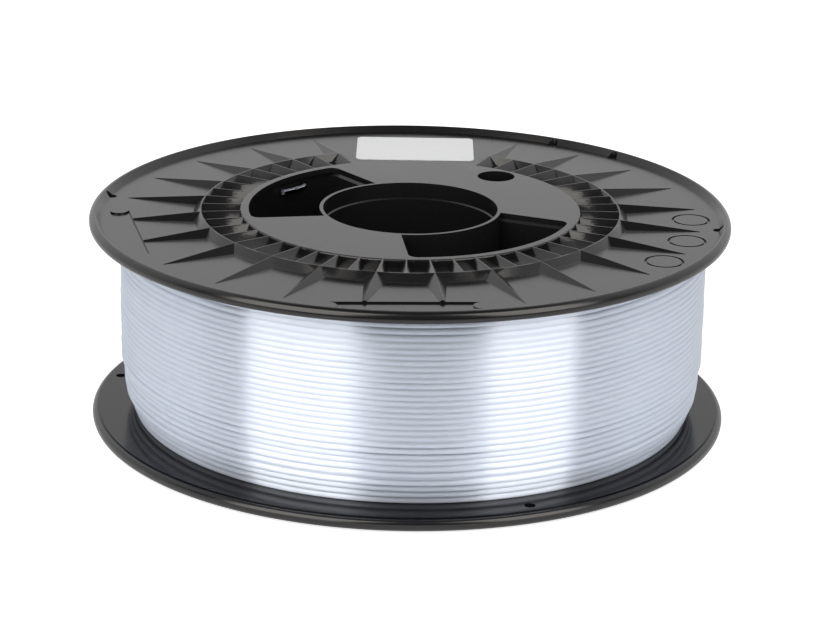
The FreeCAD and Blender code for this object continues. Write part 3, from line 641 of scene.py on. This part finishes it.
@dataclass
class Winding:
    """The filament on the spool: its outermost turns, what lies under them, and its tucked end.

    The turns lie level, side by side, and each steps down to the next at the spool's back. On the
    real spool the turns next to the lower flange belong to older layers, so they lie further in.
    """

    material: bpy.types.Material
    wire_mm: float = 1.75
    top_mm: float = 63.55
    base_mm: float = 4.45
    barrel_mm: float = 53.7
    radius_mm: float = 91.8
    # How far the winding leans to the right at its outside.
    lean_mm: float = 1.1
    # From the lower flange up, the room that a turn takes and how far out it lies.
    foot_turns: tuple[tuple[float, float], ...] = (
        (1.77, 88.0), (2.48, 88.7), (1.8, 89.5), (2.4, 90.4), (2.7, 90.7), (1.6, 90.9), (2.0, 90.7),
        (1.9, 91.0))
    # The room that each turn above those takes, all of them at the winding's radius.
    low_widths: tuple[float, ...] = (2.1, 2.0, 1.8)
    regular_width: float = 1.786
    regular_count: int = 14
    top_widths: tuple[float, ...] = (1.8, 2.1, 1.8, 2.3, 1.8, 1.77)
    # How finely the filament is drawn: its points in a turn, and the sides of its section.
    steps: int = 240
    sides: int = 14
    start_azimuth: float = 60.0
    # The angle over which the first end comes up out of the layer below.
    rise_degrees: float = 8.0
    # The share of a turn over which it steps down to the next.
    step_share: float = 0.14
    # How far the filament wanders in and out and drifts up and down, and how often in a turn.
    wander_mm: float = 0.09
    wander_waves: tuple[int, ...] = (5, 9, 14)
    drift_mm: float = 0.07
    drift_waves: int = 4
    # The last part of a turn, over which both die out.
    calm_turns: float = 0.25
    seed: int = 5
    # The hole in the lower flange that the filament's end is tucked into.
    hole_azimuth: float = 61.0
    hole_circle_mm: float = 94.5
    hole_bend_mm: float = 2.0
    # The straight run to that hole: how far from the winding it starts, its points, and those of
    # the bend after it.
    run_start_mm: float = 3.0
    run_points: int = 8
    bend_points: int = 8
    inner_columns: int = 180
    # The layer below is raised by this between two turns, so that the grooves stay as faint as in
    # the photograph, but not between turns that gape, with their middles further apart.
    fill_mm: float = 0.3
    gaping_mm: float = 2.0
    # The share of a groove that a ridge of that layer takes, and the ridge's points.
    ridge_share: float = 0.95
    ridge_points: int = 6
    # What that layer leaves free at each flange.
    flange_gap_mm: float = 0.02

    def build(self) -> None:
        """Builds the filament's pieces."""
        points, faces = tube(self.outer_path(), self.wire_mm / 2, self.sides)
        outer = mesh_piece("filament_outer_turns", points, faces, self.material)
        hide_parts("filament_outer_layer")
        self.build_inner()

    def turns(self) -> tuple[np.ndarray, np.ndarray]:
        """The turns from the top down.

        Returns:
            The heights of their middles and the radii of their outsides, in millimetres.
        """
        upper = [*self.low_widths, *[self.regular_width] * self.regular_count, *self.top_widths]
        widths = np.array([width for width, _ in self.foot_turns] + upper)
        radii = np.array([radius for _, radius in self.foot_turns] + [self.radius_mm] * len(upper))
        tops = self.base_mm + np.cumsum(widths)
        return (tops - widths / 2)[::-1], radii[::-1]

    def outer_path(self) -> np.ndarray:
        """The outermost filament's route: round and down, and into its hole.

        Returns:
            Its points, in millimetres.
        """
        heights, radii = self.turns()
        last_radius = radii[-1] - self.wire_mm / 2
        free_mm = math.sqrt(self.hole_circle_mm ** 2 - last_radius ** 2)
        leave = self.hole_azimuth - math.degrees(math.atan2(free_mm, last_radius))
        end = len(heights) - 1 + ((leave - self.start_azimuth) % 360) / 360
        return np.concatenate([
            self.wound_part(heights, radii, end), self.tucked_part(heights[-1], leave, free_mm)])

    def wound_part(self, heights: np.ndarray, radii: np.ndarray, end: float) -> np.ndarray:
        """The outermost filament where it lies on the layer below.

        Args:
            heights: of its turns' middles, from the top down, in millimetres.
            radii: of its turns' outsides, in millimetres.
            end: the turn, counted from the start, at which it leaves the winding.

        Returns:
            Its points, in millimetres.
        """
        turn = np.linspace(0, end, int(end * self.steps) + 1)
        azimuth = np.radians(self.start_azimuth) + turn * 2 * math.pi
        number = turn.astype(int)
        before = np.maximum(number - 1, 0)
        share = ease((turn - number) / self.step_share)
        random = np.random.default_rng(self.seed)
        calm = ease((end - turn) / self.calm_turns)
        # Half the sum of the noises is about as large as one of them.
        wander = sum(smooth_noise(turn, waves, random) for waves in self.wander_waves) / 2
        drift = smooth_noise(turn, self.drift_waves, random)
        height = heights[before] + (heights[number] - heights[before]) * share
        # The turns next to a flange have no room to drift.
        height += drift * self.drift_mm * calm * ((number > 0) & (number < len(heights) - 1))
        radius = radii[before] + (radii[number] - radii[before]) * share - self.wire_mm / 2
        # It lies in by half of the furthest wander, so that it stays near its turns' radii.
        radius += (wander * self.wander_mm - abs(wander).max() * self.wander_mm / 2) * calm
        radius -= self.wire_mm * (1 - ease(turn * 360 / self.rise_degrees))
        radius += self.lean_mm * np.cos(azimuth) * calm
        return np.column_stack([radius * np.cos(azimuth), radius * np.sin(azimuth), height])

    def tucked_part(self, height: float, leave: float, free_mm: float) -> np.ndarray:
        """The filament's last end: straight off the winding, and down into its hole.

        Args:
            height: of the last turn's middle, in millimetres.
            leave: the azimuth at which it leaves the winding, in degrees.
            free_mm: how far the hole is from there, in millimetres.

        Returns:
            Its points, in millimetres.
        """
        hole, away = math.radians(self.hole_azimuth), math.radians(leave)
        level = np.array([-math.sin(away), math.cos(away), 0.0])
        corner = np.array([math.cos(hole), math.sin(hole), 0.0]) * self.hole_circle_mm
        corner[2] = height
        run = np.linspace(self.run_start_mm, free_mm - self.hole_bend_mm, self.run_points)
        straight = [corner - level * (free_mm - way) for way in run]
        middle = corner - level * self.hole_bend_mm - np.array([0, 0, self.hole_bend_mm])
        bend = [middle + self.hole_bend_mm * (level * math.sin(a) + np.array([0, 0, math.cos(a)]))
                for a in np.linspace(0, math.pi / 2, self.bend_points + 1)[1:]]
        tail = [bend[-1] - np.array([0, 0, self.wire_mm])]
        return np.concatenate([straight, bend, tail])

    def inner_section(self) -> np.ndarray:
        """The layer under the outermost one in section, a ridge in each groove between two turns.

        Returns:
            Its corners' radii and heights, in millimetres.
        """
        heights, radii = (values[::-1] for values in self.turns())
        low, high = self.base_mm + self.flange_gap_mm, self.top_mm - self.flange_gap_mm
        half = self.wire_mm / 2
        section = [(self.barrel_mm, low)]
        for above, below, outer, inner in zip(heights[1:], heights[:-1], radii[1:], radii[:-1]):
            groove = (above + below) / 2
            fill = self.fill_mm if above - below < self.gaping_mm else 0.0
            middle = min(outer, inner) - self.wire_mm + fill
            reach = (above - below) / 2
            if len(section) == 1:
                section.append((middle, low))
            for part in np.linspace(-self.ridge_share, self.ridge_share, self.ridge_points):
                offset = part * reach
                rise = math.sqrt(max(0.0, half ** 2 - min(abs(offset), half) ** 2))
                section.append((middle + rise, groove + offset))
        section += [(section[-1][0], high), (self.barrel_mm, high)]
        return np.array(section)

    def build_inner(self) -> None:
        """Builds the layer under the outermost one, as a ring with the ridges of its turns."""
        section = self.inner_section()
        lean = (section[:, 0] > self.barrel_mm) * self.lean_mm
        points, faces = revolve(section, self.inner_columns, lean)
        inner = mesh_piece("filament_inner_turns", points, faces, self.material)
        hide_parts("filament_inner_layers")


@dataclass
class Mouldings:
    """The CAD nodes that keep their shapes and get their finish here."""

    nodes: dict[str, bpy.types.Object]
    finishes: dict[str, bpy.types.Material]
    weld_mm: float = 0.001
    crease_degrees: float = 31.0

    def build(self) -> None:
        """Dresses each node."""
        for name, material in self.finishes.items():
            node = self.nodes[name]
            node.data.materials.clear()
            node.data.materials.append(material)
            self.even_shading(node)
            log.info("%s dressed in %s", name, material.name)

    def even_shading(self, node: bpy.types.Object) -> None:
        """Shades flat faces flat and rounded ones smooth, with a crease at each real edge.

        Args:
            node: the node, whose own mesh stays as it is.
        """
        node.data.shade_smooth()
        weld = node.modifiers.new("weld", "WELD")
        weld.merge_threshold = self.weld_mm * MM
        crease = node.modifiers.new("crease", "EDGE_SPLIT")
        crease.split_angle = math.radians(self.crease_degrees)
        crease.use_edge_sharp = False
        even = node.modifiers.new("even_shading", "WEIGHTED_NORMAL")
        even.keep_sharp = True


@dataclass
class RimEdges:
    """The flanges' rounded rims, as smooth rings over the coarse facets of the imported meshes.

    Heights are those of the upper rim. The lower one is the same turned over.
    """

    material: bpy.types.Material
    radius_mm: float = 100.0
    top_mm: float = 67.55
    bottom_mm: float = 63.85
    round_mm: float = 2.0
    band_round_mm: float = 1.5
    width_mm: float = 68.0
    # Just enough to lie outside the facets' corners.
    clear_mm: float = 0.002
    columns: int = 720
    steps: int = 14

    def build(self) -> None:
        """Builds both rims."""
        upper, faces = revolve(self.section(), self.columns)
        lower = upper * (1, 1, -1) + (0, 0, self.width_mm)
        outward = [face[::-1] for face in faces]
        mesh_piece("upper_rim_edge", upper, outward, self.material)
        mesh_piece("lower_rim_edge", lower, faces, self.material)

    def section(self) -> np.ndarray:
        """The rim's outside in section, closed through the flange's inside.

        Returns:
            Its corners' radii and heights, in millimetres.
        """
        parts = []
        for round_mm, height, start in (
                (self.round_mm, self.top_mm - self.round_mm, 90.0),
                (self.band_round_mm, self.bottom_mm + self.band_round_mm, 0.0)):
            turn = np.radians(start - np.linspace(0, 90, self.steps))
            reach = round_mm + self.clear_mm
            parts.append(np.column_stack([self.radius_mm - round_mm + reach * np.cos(turn),
                                          height + reach * np.sin(turn)]))
        inside = self.radius_mm - self.round_mm
        parts.append(np.array([(inside, self.bottom_mm + self.round_mm)]))
        return np.concatenate(parts)


def main() -> None:
    """Builds the whole scene."""
    logging.basicConfig(level=logging.INFO, format="%(name)s: %(message)s")
    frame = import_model()
    Studio().build()
    plastic = EtchedPolystyrene().build()
    # The lower flange is the same plastic as the upper one, made as a darker copy. It shows only at
    # a low angle, where it mirrors less than polystyrene's index gives, so it has a lower index;
    # its darker colours are painted shade, for the shade it lies in under the winding.
    painted_shade_plastic = EtchedPolystyrene(
        "black_etched_polystyrene_painted_shade", colour="#0d0d10", flow_colour="#101013", ior=1.3,
        roughness=0.16).build()
    silk = SilkPla().build()
    paper = CoatedPaper().build()
    Mouldings(frame["nodes"], {
        "upper_flange": plastic,
        # The lower flange takes the copy with painted shade.
        "lower_flange": painted_shade_plastic,
        "core": plastic,
        "filament_start": silk,
        "label": paper,
    }).build()
    RimEdges(plastic).build()
    Winding(silk).build()


if __name__ == "__main__":
    main()
